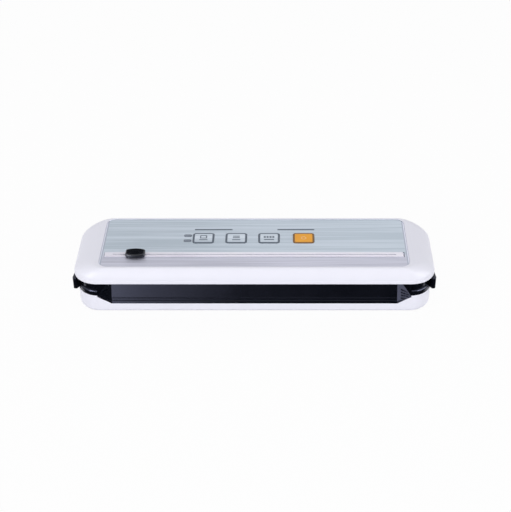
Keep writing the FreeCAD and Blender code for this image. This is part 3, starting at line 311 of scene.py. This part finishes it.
# Black ABS, tumbled to a satin: blue-black, with a soft mirror and a fine even grain.
black_abs = moulded("black_abs_satin", colours=("#07090F", "#0B0D14"), roughness=(0.17, 0.22),
                    patch_mm=40, grain_mm=0.6, grain_height_mm=0.003,
                    constants={"IOR": 1.53, "Specular Tint": linear("#D2D7FF")})
dress(["mains_inlet"], black_abs)
# Turned brass: warm and bright, dulled in patches by handling.
turned_brass = moulded("brass_turned", colours=("#B79A5A", "#C9AC6C"), roughness=(0.22, 0.34),
                       patch_mm=3, grain_mm=0.2, grain_height_mm=0.003, constants={"Metallic": 1.0})
dress(["inlet_pins"], turned_brass)


# Black deck. One moulding in the same satin ABS closes the base from above and slopes down in front
# as a ramp for the bag. The ramp's ends turn in, each with a fan of ribs that run to its tip, and a
# thin lip runs along the lower edge of the ramp and its ends.

dress(["deck"], black_abs)
ramp_foot = Vector((144.0, -47.0, 13.0)) * MM
ramp_tip = Vector((158.0, -47.0, 22.0)) * MM
ramp_back = Vector((144.0, -36.83, 39.0)) * MM
rib_half, rib_high, rib_root = 1.0 * MM, 0.75 * MM, 0.25 * MM
rib_places = (0.2, 0.33, 0.46, 0.59)  # shares of the way from the ramp's foot to its back
# The ribs aim at a point past the tip, in line with it and with a place between foot and back.
aim_place, aim_past = 0.4, 0.6
# A rib's start on its way to that point, its size at its end, and how far it stays from an edge.
rib_start, rib_taper, rib_margin = 0.16, 0.6, 0.05
lip_wide, lip_high, lip_taper = 2.5 * MM, 0.9 * MM, 0.3
# The lip's profile in shares of its width and height.
lip_profile = ((0.0, -0.3), (0.0, 0.0), (0.75, 1.0), (1.0, 0.0), (1.0, -0.3))

lip_rings = []
lip_maker = bmesh.new()
for side, side_name in ((-1, "left"), (1, "right")):
    maker = bmesh.new()
    mirror = Vector((side, 1, 1))
    foot, tip, back = ramp_foot * mirror, ramp_tip * mirror, ramp_back * mirror
    outward = (tip - foot).cross(back - foot).normalized() * side
    aim = tip + (tip - foot.lerp(back, aim_place)) * aim_past
    for share in rib_places:
        root = foot.lerp(back, share)
        across = (root - aim).cross(outward).normalized() * rib_half
        to_lower_edge = (share - rib_margin) / (share + aim_place * aim_past)
        to_upper_edge = (1 - rib_margin - share) / (1 + (1 - aim_place) * aim_past - share)
        rows = []
        for along, size in ((rib_start, 1.0), (min(to_lower_edge, to_upper_edge), rib_taper)):
            point = root.lerp(aim, along)
            rows.append([maker.verts.new(point - across * size - outward * rib_root),
                         maker.verts.new(point + across * size - outward * rib_root),
                         maker.verts.new(point + outward * rib_high * size)])
        join_loops(maker, *rows)
        maker.faces.new(rows[0])
        maker.faces.new(rows[1])
    finish_piece("ramp_ribs_" + side_name, maker, black_abs, "base")
    upward = (back - foot).normalized()
    forward = Vector((-1, 0, 0)).cross(upward)
    at_tip = (tip, outward.cross(tip - foot).normalized() * -side, outward, lip_taper)
    at_foot = (foot, upward, (outward + forward).normalized(), 1.0)
    for point, rise, way, size in (at_tip, at_foot)[::-side]:
        lip_rings.append([lip_maker.verts.new(point + (rise * lip_wide * up + way * lip_high * out) * size)
                          for up, out in lip_profile])
for one, two in zip(lip_rings, lip_rings[1:]):
    join_loops(lip_maker, one, two)
lip_maker.faces.new(lip_rings[0])
lip_maker.faces.new(lip_rings[-1])
finish_piece("ramp_lip", lip_maker, black_abs, "base")


# Release latches. A curved blade at each end, of the deck's ABS; pressed in, it lets go of the
# lid's hook, and a coil spring of zinc-plated wire behind it, wound in four turns, brings it back.

dress(["latch_right", "latch_left"], black_abs)
wire_radius, coil_turns = 0.35 * MM, 4
turn_steps, wire_sides = 24, 10
for side in ("right", "left"):
    low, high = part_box("latch_spring_" + side)
    middle = (low + high) / 2
    coil_radius = (high.z - low.z) / 2 - wire_radius
    coil_steps = coil_turns * turn_steps
    advance = (high.x - low.x - 2 * wire_radius) / coil_steps
    maker = bmesh.new()
    rings = []
    for step in range(coil_steps + 1):
        turn = math.tau * step / turn_steps
        out = Vector((0, math.sin(turn), math.cos(turn)))
        wire = Vector((low.x + wire_radius + advance * step, middle.y, middle.z)) + out * coil_radius
        ring = []
        for index in range(wire_sides):
            angle = math.tau * index / wire_sides
            ring.append(maker.verts.new(wire + (out * math.cos(angle) + Vector((math.sin(angle), 0, 0)))
                                        * wire_radius))
        rings.append(ring)
    for one, two in zip(rings, rings[1:]):
        join_loops(maker, one, two)
    maker.faces.new(rings[0])
    maker.faces.new(rings[-1])
    coil = finish_piece("latch_coil_" + side, maker, zinc_steel, "base")
    for face in coil.data.polygons:
        face.use_smooth = len(face.vertices) == 4
    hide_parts("latch_spring_" + side)
    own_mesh(coil)


# Sealing bar. A bar of glass-filled nylon lies in the deck, a thin nichrome ribbon on it melts the
# bag, and a tape of woven glass with a non-stick coat covers the ribbon.

dress(["sealing_bar"], nylon_black)
# Rolled nichrome: a dull, slightly warm grey metal.
ribbon = moulded("nichrome_rolled", colours=("#8D8A86", "#A39F98"), roughness=(0.3, 0.42),
                 patch_mm=4, grain_mm=0.3, grain_height_mm=0.003, constants={"Metallic": 1.0})
dress(["heating_strip"], ribbon)

thread_pitch, thread_height = 1.2 * MM, 0.03 * MM
tape_lift = 6.0  # how far the ribbon lifts the tape, in thread heights
ribbon_low, ribbon_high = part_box("heating_strip")
ribbon_middle, ribbon_half = (ribbon_low.y + ribbon_high.y) / 2, (ribbon_high.y - ribbon_low.y) / 2
slope_foot, slope_top = 1.2 * ribbon_half, 0.9 * ribbon_half

# Coated glass cloth: a brown plain weave under a slick coat. Its threads are about 0.5 mm apart;
# they are drawn 1.2 mm apart so that they show. The ribbon, 4 mm wide, stands out under the tape.
tape_cloth, tree, shader, place = begin_material("glass_cloth_coated", {"IOR": 1.38})
warp, weft = [add_node(tree, "ShaderNodeTexWave", {"bands_direction": way, "Scale": band / thread_pitch},
                       {"Vector": place.outputs["Object"]}) for way in ("X", "Y")]
weave = add_node(tree, "ShaderNodeMath", {"operation": "MULTIPLY"},
                 {0: warp.outputs["Fac"], 1: weft.outputs["Fac"]})
tone = add_node(tree, "ShaderNodeValToRGB", {"stops": list(zip(tone_span, ("#6B5230", "#8F7048")))},
                {"Fac": weave.outputs["Value"]})
tree.links.new(tone.outputs["Color"], shader.inputs["Base Color"])
gloss = add_node(tree, "ShaderNodeMapRange", {"To Min": 0.34, "To Max": 0.5},
                 {"Value": weave.outputs["Value"]})
tree.links.new(gloss.outputs["Result"], shader.inputs["Roughness"])
spot = add_node(tree, "ShaderNodeSeparateXYZ", {}, {"Vector": place.outputs["Object"]})
off_middle = add_node(tree, "ShaderNodeMath", {"operation": "SUBTRACT", 1: ribbon_middle},
                      {0: spot.outputs["Y"]})
off_middle = add_node(tree, "ShaderNodeMath", {"operation": "ABSOLUTE"}, {0: off_middle.outputs["Value"]})
raised = add_node(tree, "ShaderNodeMapRange", {"From Min": slope_foot, "From Max": slope_top,
                  "To Max": tape_lift}, {"Value": off_middle.outputs["Value"]})
swell = add_node(tree, "ShaderNodeMath", {"operation": "ADD"},
                 {0: weave.outputs["Value"], 1: raised.outputs["Result"]})
relief = add_node(tree, "ShaderNodeBump", {"Distance": thread_height}, {"Height": swell.outputs["Value"]})
tree.links.new(relief.outputs["Normal"], shader.inputs["Normal"])
dress(["nonstick_tape"], tape_cloth)


# Gaskets. Two rings of closed-cell foam face each other round the trough, one glued in a groove of
# the deck and one in the lid, and seal it when the lid is shut.

cell_size, cell_depth = 0.8 * MM, 0.15 * MM

# Closed-cell foam: dull charcoal, pitted with cells of about 0.4 mm, drawn at 0.8 mm to show, with painted
# shade in the pits.
foam, tree, shader, place = begin_material("foam_closed_cell", {"IOR": 1.45})
cells = add_node(tree, "ShaderNodeTexVoronoi", {"Scale": 1 / cell_size},
                 {"Vector": place.outputs["Object"]})
# Each cell is darker towards its middle, where the bump sinks it: painted shade in its pit.
tone = add_node(tree, "ShaderNodeValToRGB", {"stops": list(zip(tone_span, ("#2A2A2E", "#4A4A50")))},
                {"Fac": cells.outputs["Distance"]})
tree.links.new(tone.outputs["Color"], shader.inputs["Base Color"])
gloss = add_node(tree, "ShaderNodeMapRange", {"To Min": 0.95, "To Max": 0.75},
                 {"Value": cells.outputs["Distance"]})
tree.links.new(gloss.outputs["Result"], shader.inputs["Roughness"])
relief = add_node(tree, "ShaderNodeBump", {"Distance": cell_depth}, {"Height": cells.outputs["Distance"]})
tree.links.new(relief.outputs["Normal"], shader.inputs["Normal"])
dress(["lower_gasket", "upper_gasket"], foam)


# Lid shell. The same white ABS as the base, with soft shoulders and a thin lip round its lower
# edge. It turns on two steel pins pressed into the hinge barrels of the deck.

dress(["lid_shell"], white_abs)
dress(["hinge_pins"], zinc_steel)


# Brushed panel. A thin aluminium sheet, brushed from end to end, lacquered, and glued into the lid; its
# ends are rolled down, and the light on them is painted: a line of painted shade, then a narrow painted
# highlight.

# The real scratches are about 0.1 mm apart; bunches of 1.1 mm and 4.5 mm stand for them here, and
# each pair gives a bunch's length and width.
streak_sizes_mm = ((90, 1.1), (220, 4.5))
scratch_depth = 0.01 * MM
streaks_low, streaks_high = 2 * tone_span[0], 2 * tone_span[1]  # two sets of streaks are added up
drift_start, drift_end = -14 * MM, -26 * MM  # the tint drifts from back to front between these
mix_first, mix_second, mix_result = 6, 7, 2  # the colour sockets of a mix node


def brushed(name, back_tones, front_tones):
    """Aluminium brushed along X: streaks in colour and gloss, and a tint that drifts to the front."""
    material, tree, shader, place = begin_material(name, {"Metallic": 1.0})
    sets = []
    for length_mm, width_mm in streak_sizes_mm:
        across = 1 / (width_mm * MM)
        stretched = add_node(tree, "ShaderNodeMapping", {"Scale": (1 / (length_mm * MM), across, across)},
                             {"Vector": place.outputs["Object"]})
        sets.append(add_node(tree, "ShaderNodeTexNoise", {"Scale": 1.0, "Detail": 2.0},
                             {"Vector": stretched.outputs["Vector"]}))
    streaks = add_node(tree, "ShaderNodeMath", {"operation": "ADD"},
                       {0: sets[0].outputs["Fac"], 1: sets[1].outputs["Fac"]})
    streaks = add_node(tree, "ShaderNodeMapRange", {"From Min": streaks_low, "From Max": streaks_high},
                       {"Value": streaks.outputs["Value"]})
    spot = add_node(tree, "ShaderNodeSeparateXYZ", {}, {"Vector": place.outputs["Object"]})
    drift = add_node(tree, "ShaderNodeMapRange", {"From Min": drift_start, "From Max": drift_end},
                     {"Value": spot.outputs["Y"]})
    back, front = [add_node(tree, "ShaderNodeValToRGB", {"stops": list(zip(tone_span, tones))},
                            {"Fac": streaks.outputs["Result"]}) for tones in (back_tones, front_tones)]
    tint = add_node(tree, "ShaderNodeMix", {"data_type": "RGBA"}, {0: drift.outputs["Result"],
                    mix_first: back.outputs["Color"], mix_second: front.outputs["Color"]})
    tree.links.new(tint.outputs[mix_result], shader.inputs["Base Color"])
    gloss = add_node(tree, "ShaderNodeMapRange", {"To Min": 0.38, "To Max": 0.5},
                     {"Value": streaks.outputs["Result"]})
    tree.links.new(gloss.outputs["Result"], shader.inputs["Roughness"])
    relief = add_node(tree, "ShaderNodeBump", {"Distance": scratch_depth},
                      {"Height": sets[0].outputs["Fac"]})
    tree.links.new(relief.outputs["Normal"], shader.inputs["Normal"])
    return material, tree, shader, place, tint.outputs[mix_result]


# Brushed aluminium under lacquer: long cool streaks, a little warmer in front of the cutter.
panel_metal, tree, shader, place, streaked = brushed("aluminium_brushed_lacquered",
                                                     back_tones=("#B4BFCA", "#C6CFDA"),
                                                     front_tones=("#B9BAC8", "#CBCCDA"))
panel_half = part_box("brushed_panel")[1].x
# The panel's ends are flat here. Across their last 2.6 mm the streaks give way to a line of painted shade
# and then a narrow painted highlight.
painted_edge_width = 2.6 * MM
painted_edge_begin = 0.02  # share of the painted edge band at which its painted shade and highlight take over from the streaks
edge_shade_and_highlight_tones = ((0.0, "#B2B7C5"), (0.4, "#A8AEBE"), (0.62, "#DCDFEB"), (1.0, "#E6E8F2"))
spot = add_node(tree, "ShaderNodeSeparateXYZ", {}, {"Vector": place.outputs["Object"]})
off_middle = add_node(tree, "ShaderNodeMath", {"operation": "ABSOLUTE"}, {0: spot.outputs["X"]})
across_painted_edge = add_node(tree, "ShaderNodeMapRange", {"From Min": panel_half - painted_edge_width, "From Max": panel_half},
                {"Value": off_middle.outputs["Value"]})
painted_edge_shade_and_highlight = add_node(tree, "ShaderNodeValToRGB", {"stops": edge_shade_and_highlight_tones}, {"Fac": across_painted_edge.outputs["Result"]})
on_painted_edge = add_node(tree, "ShaderNodeMath", {"operation": "GREATER_THAN", 1: painted_edge_begin},
                   {0: across_painted_edge.outputs["Result"]})
joined = add_node(tree, "ShaderNodeMix", {"data_type": "RGBA"}, {0: on_painted_edge.outputs["Value"],
                  mix_first: streaked, mix_second: painted_edge_shade_and_highlight.outputs["Color"]})
tree.links.new(joined.outputs[mix_result], shader.inputs["Base Color"])
dress(["brushed_panel"], panel_metal)


# Printing on the panel. Two grey lines behind the keys and a plain frame round each indicator
# window, screen-printed on the lacquer.

# Screen ink: matt and slate grey, with the faint unevenness of a thin print.
ink_grey = moulded("screen_ink_grey", colours=("#525D6C", "#5E6978"), roughness=(0.45, 0.55),
                   patch_mm=5, grain_mm=0.3, grain_height_mm=0.004, constants={"IOR": 1.5})
panel_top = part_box("brushed_panel")[1].z
ink_high = 0.05 * MM
corner_steps, least_corner_mm = 6, 0.2
line_ends_mm, line_y_mm, line_width_mm = ((-62.6, -23.6), (23.2, 61.4)), 25.0, 2.1


def add_bar(maker, x, y, length_mm, width_mm, z):
    """A printed bar in a bmesh, as a thin block."""
    made = bmesh.ops.create_cube(maker, size=1.0)["verts"]
    bmesh.ops.scale(maker, vec=(length_mm * MM, width_mm * MM, ink_high), verts=made)
    bmesh.ops.translate(maker, vec=(x, y, z + ink_high / 2), verts=made)


def add_frame(maker, x, y, half_x_mm, half_y_mm, corner_mm, width_mm, z):
    """A printed outline in a bmesh: a rectangle with round corners, as a thin flat ring."""
    loops = []
    for inset, level in ((0.0, z), (0.0, z + ink_high), (width_mm, z + ink_high), (width_mm, z)):
        radius = max(corner_mm - inset, least_corner_mm)
        loop = []
        for index, (sign_x, sign_y) in enumerate(((1, 1), (-1, 1), (-1, -1), (1, -1))):
            for step in range(corner_steps + 1):
                angle = math.pi / 2 * (index + step / corner_steps)
                loop.append(maker.verts.new((
                    x + (sign_x * (half_x_mm - inset - radius) + radius * math.cos(angle)) * MM,
                    y + (sign_y * (half_y_mm - inset - radius) + radius * math.sin(angle)) * MM, level)))
        loops.append(loop)
    for index in range(4):
        join_loops(maker, loops[index - 1], loops[index])


maker = bmesh.new()
for start, stop in line_ends_mm:
    add_bar(maker, (start + stop) / 2 * MM, line_y_mm * MM, stop - start, line_width_mm, panel_top)
for x, y in solid_middles("indicator_windows"):
    add_frame(maker, x, y, half_x_mm=3.9, half_y_mm=2.2, corner_mm=1.4, width_mm=0.75, z=panel_top)
finish_piece("panel_print", maker, ink_grey, "lid")


# Control board. A glass-laminate board under the keys, with four switches that the keys press and
# two light pipes of smoked acrylic that end level with the panel.

dress(["control_board"], green_resist)
dress(["tact_switches"], case_black)
# Smoked acrylic: polished and grey, with light held in it.
smoked_acrylic = moulded("acrylic_smoked_polished", colours=("#8A929F", "#949CA9"), roughness=(0.08, 0.14),
                         patch_mm=5, grain_mm=2.0, grain_height_mm=0.002, constants={"IOR": 1.49})
dress(["indicator_windows"], smoked_acrylic)


# Keys. Moulded caps under a printed film: three silver ones like the panel, and an orange one that
# starts the machine. Each has a dark outline, printed over its edge, and a plain pictogram.

top_facing = 0.97  # how far up a normal points at least on the upper face of a cap


def ink_sides(tree, shader, place, top, code):
    """Ink over the edge and down the sides of a cap; its upper face keeps its own colour."""
    facing = add_node(tree, "ShaderNodeSeparateXYZ", {}, {"Vector": place.outputs["Normal"]})
    upward = add_node(tree, "ShaderNodeMath", {"operation": "GREATER_THAN", 1: top_facing},
                      {0: facing.outputs["Z"]})
    joined = add_node(tree, "ShaderNodeMix", {"data_type": "RGBA", mix_first: linear(code)},
                      {0: upward.outputs["Value"], mix_second: top})
    tree.links.new(joined.outputs[mix_result], shader.inputs["Base Color"])
    return upward.outputs["Value"]


# Metallised film over the caps: brushed like the panel and a little paler; its ink isn't metal.
key_silver, tree, shader, place, streaked = brushed("film_brushed_silver",
                                                    back_tones=("#BCC6D1", "#D0D8E2"),
                                                    front_tones=("#BCC6D1", "#D0D8E2"))
tree.links.new(ink_sides(tree, shader, place, streaked, "#5A6573"), shader.inputs["Metallic"])
dress(["key_vacuum", "key_seal", "key_mode"], key_silver)
# Printed film in warm orange, satin, with a dark brown edge.
key_orange = moulded("film_printed_orange", colours=("#F0A112", "#F6AB20"), roughness=(0.32, 0.4),
                     patch_mm=8, grain_mm=0.5, grain_height_mm=0.003, constants={"IOR": 1.5})
tree = key_orange.node_tree
shader = tree.nodes["Principled BSDF"]
place = add_node(tree, "ShaderNodeTexCoord", {}, {})
ink_sides(tree, shader, place, shader.inputs["Base Color"].links[0].from_socket, "#7F5A2C")
dress(["key_start"], key_orange)
# The same ink in brown for the outline and in cream for the pictogram on the orange key.
ink_brown = moulded("screen_ink_brown", colours=("#7C5828", "#876232"), roughness=(0.45, 0.55),
                    patch_mm=5, grain_mm=0.3, grain_height_mm=0.004, constants={"IOR": 1.5})
ink_cream = moulded("screen_ink_cream", colours=("#F3BE82", "#F6C891"), roughness=(0.45, 0.55),
                    patch_mm=5, grain_mm=0.3, grain_height_mm=0.004, constants={"IOR": 1.5})

flange_and_bevel_mm = 1.62  # from a key's widest edge, under the lid, in to the flat of its cap
outline_corner_mm, outline_width_mm = 2.6, 1.35
# A pictogram's bars: across and up from the key's middle, length and width, all in mm.
window_bars = [(across, 1.8, 2.1, 2.8) for across in (-4.4, -1.5, 1.5, 4.4)]
key_bars = {
    "key_vacuum": [(0, -3.2, 8.4, 1.3)],
    "key_seal": [(0, 3.2, 7.2, 1.3), (0, 0.6, 7.2, 1.3), (0, -3.2, 8.4, 1.3)],
    "key_mode": window_bars + [(0, -2.8, 10.2, 1.5)],
    "key_start": [],
}
# A pictogram's ring: up from the key's middle, half length, half width, corner and line, all in mm.
key_rings = {"key_vacuum": (2.0, 3.6, 2.7, 0.8, 1.1), "key_start": (0, 2.7, 2.7, 2.6, 0.9)}
for key, bars in key_bars.items():
    low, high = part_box(key)
    x, y, top = (low.x + high.x) / 2, (low.y + high.y) / 2, high.z
    orange = key == "key_start"
    maker = bmesh.new()
    add_frame(maker, x, y, (high.x - low.x) / 2 / MM - flange_and_bevel_mm,
              (high.y - low.y) / 2 / MM - flange_and_bevel_mm, outline_corner_mm, outline_width_mm, top)
    finish_piece(key + "_outline", maker, ink_brown if orange else ink_grey, key)
    maker = bmesh.new()
    for across, up, length_mm, width_mm in bars:
        add_bar(maker, x + across * MM, y + up * MM, length_mm, width_mm, top)
    if key in key_rings:
        up, half_x_mm, half_y_mm, corner_mm, width_mm = key_rings[key]
        add_frame(maker, x, y + up * MM, half_x_mm, half_y_mm, corner_mm, width_mm, top)
    finish_piece(key + "_mark", maker, ink_cream if orange else ink_grey, key)


# Bag cutter. A pale extruded rail with a slot along it lies in a channel of the lid and lifts about
# a pin at its right end; a glossy black slider with a ground blade below it runs in the slot.

# Extruded polycarbonate: pale, glossy and slightly milky.
rail_plastic = moulded("polycarbonate_extruded_pale", colours=("#F3F0FF", "#F6F4FF"), roughness=(0.14, 0.2),
                       patch_mm=30, grain_mm=1.5, grain_height_mm=0.002,
                       constants={"IOR": 1.58, "Specular IOR Level": 0.9})
dress(["cutter_rail"], rail_plastic)
dress(["rail_pin"], zinc_steel)
# ABS from a mirror-polished tool: deep blue-black with sharp lights on it.
knob_black = moulded("black_abs_polished", colours=("#05080F", "#080C14"), roughness=(0.1, 0.14),
                     patch_mm=10, grain_mm=1.5, grain_height_mm=0.002,
                     constants={"IOR": 1.53, "Specular Tint": linear("#F0F3FF")})
dress(["cutter_knob"], knob_black)
# Ground steel: bright, with a fine even haze from the wheel.
ground_steel = moulded("steel_ground", colours=("#B5B8BC", "#C8CBCF"), roughness=(0.2, 0.3),
                       patch_mm=2, grain_mm=0.2, grain_height_mm=0.002, constants={"Metallic": 1.0})
dress(["cutter_blade"], ground_steel)


# Lid liner. A black ABS plate closes the lid from below and carries the hooks and the hinge; six
# screws hold it, and a bar of red silicone in it presses the bag on the tape.

dress(["lid_liner"], black_abs)
make_screws("liner_screws", "lid")
# Moulded silicone: a dry, brick-red rubber that lets a little light in.
silicone_red = moulded("silicone_moulded_red", colours=("#9F3628", "#B04234"), roughness=(0.5, 0.6),
                       patch_mm=12, grain_mm=0.6, grain_height_mm=0.01,
                       constants={"IOR": 1.41, "Subsurface Weight": 0.15, "Subsurface Scale": 0.002})
dress(["press_strip"], silicone_red)


# Studio. A white floor that keeps a faint shadow and is open from below, a white surround and soft
# lamps. Three black felt cards, one standing and one lying in front and one behind, show in
# reflections alone and darken what the ramp and the slider mirror.

floor_reach, floor_level = 6.0, -0.1 * MM
floor_glow = 0.94  # share of the floor's own even white in what is seen of it
surround_light = 0.6  # what the surround sheds on the object, where 1 is the white that is seen


def add_sheet(name, corners, material):
    """A flat sheet of the studio."""
    mesh = bpy.data.meshes.new(name)
    mesh.from_pydata(corners, [], [(0, 1, 2, 3)])
    mesh.materials.append(material)
    sheet = bpy.data.objects.new(name, mesh)
    bpy.context.scene.collection.objects.link(sheet)
    return sheet


def shows_studio(tree):
    """1 for a ray that shows the studio itself: from the camera, off a gloss or through something clear."""
    rays = add_node(tree, "ShaderNodeLightPath", {}, {})
    shown = rays.outputs["Is Camera Ray"]
    for other in ("Is Glossy Ray", "Is Transmission Ray"):
        either = add_node(tree, "ShaderNodeMath", {"operation": "MAXIMUM"},
                          {0: shown, 1: rays.outputs[other]})
        shown = either.outputs["Value"]
    return shown


# Matt white paint: what is seen of it is nearly all an even white, and the rest holds the shadow.
floor_paint, tree, shader = begin_material("floor_paint_white", {"Base Color": linear("#F8F8FA"),
                                           "Roughness": 0.9})[:3]
glow = add_node(tree, "ShaderNodeEmission", {"Strength": 1.0}, {})
glow_share = add_node(tree, "ShaderNodeMapRange", {"To Max": floor_glow}, {"Value": shows_studio(tree)})
lit = add_node(tree, "ShaderNodeMixShader", {}, {0: glow_share.outputs["Result"], 1: shader.outputs["BSDF"],
               2: glow.outputs["Emission"]})
face = add_node(tree, "ShaderNodeNewGeometry", {}, {})
clear = add_node(tree, "ShaderNodeBsdfTransparent", {}, {})
floor_sides = add_node(tree, "ShaderNodeMixShader", {}, {0: face.outputs["Backfacing"],
                       1: lit.outputs["Shader"], 2: clear.outputs["BSDF"]})
tree.links.new(floor_sides.outputs["Shader"], tree.nodes["Material Output"].inputs["Surface"])
add_sheet("studio_floor", [(floor_reach * x, floor_reach * y, floor_level)
                           for x, y in ((-1, -1), (1, -1), (1, 1), (-1, 1))], floor_paint)

# Black felt: swallows nearly all light. Each card is given by two opposite corners in metres, and
# two of its edges run along X.
card_felt = moulded("card_felt_black", colours=("#020202", "#040404"), roughness=(0.9, 1.0),
                    patch_mm=20, grain_mm=1.0, grain_height_mm=0.1, constants={"Specular IOR Level": 0.0})
for name, (left, near, low), (right, far, high) in (("standing_card", (-0.18, -1.9, 0), (1.6, -1.9, 0.55)),
                                                    ("lying_card", (-0.7, -1.9, 0), (0.9, -0.04, 0)),
                                                    ("rear_card", (-0.43, 1.18, 0.76), (-0.17, 1.18, 1.02))):
    corners = [(left, near, low), (right, near, low), (right, far, high), (left, far, high)]
    card = add_sheet(name, corners, card_felt)
    card.visible_camera = False
    card.visible_diffuse = False
    card.visible_shadow = False

surround = bpy.data.worlds.new("studio_surround")
surround.use_nodes = True
tree = surround.node_tree
sky = tree.nodes["Background"]
sky.inputs["Color"].default_value = (1.0, 1.0, 1.0, 1.0)
level = add_node(tree, "ShaderNodeMapRange", {"To Min": surround_light, "To Max": 1.0},
                 {"Value": shows_studio(tree)})
tree.links.new(level.outputs["Result"], sky.inputs["Strength"])
bpy.context.scene.world = surround

# Each lamp's place in metres, power in watts, width and height. A fill lamp leaves no reflection,
# and a strip is seen in reflections alone.
lamp_target = Vector((0, 0, 0.03))
for name, spot, power, width, height in (("key_lamp", (-0.25, -1.45, 1.5), 0.5, 0.8, 0.65),
                                         ("low_lamp", (-0.6, -1.5, 0.2), 1.65, 0.52, 0.35),
                                         ("fill_lamp", (0.1, -1.6, 0.15), 1.9, 0.9, 0.3),
                                         ("top_fill_lamp", (-0.15, 0.1, 1.6), 2.1, 1.2, 0.8),
                                         ("left_lamp", (-1.25, -1.05, 0.7), 4.7, 0.35, 0.8),
                                         ("right_lamp", (1.25, -1.05, 0.7), 5, 0.35, 0.8),
                                         ("left_strip", (-1.2, -1.3, 0.5), 13.5, 0.8, 0.7),
                                         ("right_strip", (1.5, -0.55, 0.5), 14, 1.2, 0.7)):
    lamp = bpy.data.lights.new(name, "AREA")
    lamp.shape = "RECTANGLE"
    lamp.energy, lamp.size, lamp.size_y = power, width, height
    stand = bpy.data.objects.new(name, lamp)
    stand.visible_glossy = not name.endswith("fill_lamp")
    stand.visible_diffuse = not name.endswith("strip")
    stand.location = spot
    stand.rotation_euler = (lamp_target - Vector(spot)).to_track_quat("-Z", "Y").to_euler()
    bpy.context.scene.collection.objects.link(stand)


# Camera. It looks from the front, 35 degrees down, from about 1.2 m, with a long lens. Its small
# sideways shift frames the machine as in the photograph.

eye = bpy.data.cameras.new("photo_camera")
eye.sensor_width = 36.0
eye.lens = 81.84
eye.shift_x = -0.0494
eye.clip_end = 50.0
photo_camera = bpy.data.objects.new("photo_camera", eye)
photo_camera.location = (0.0266, -0.9828, 0.7268)
photo_camera.rotation_euler = (math.radians(55), 0, 0)
bpy.context.scene.collection.objects.link(photo_camera)
bpy.context.scene.camera = photo_camera
bpy.context.scene.view_settings.view_transform = "Standard"
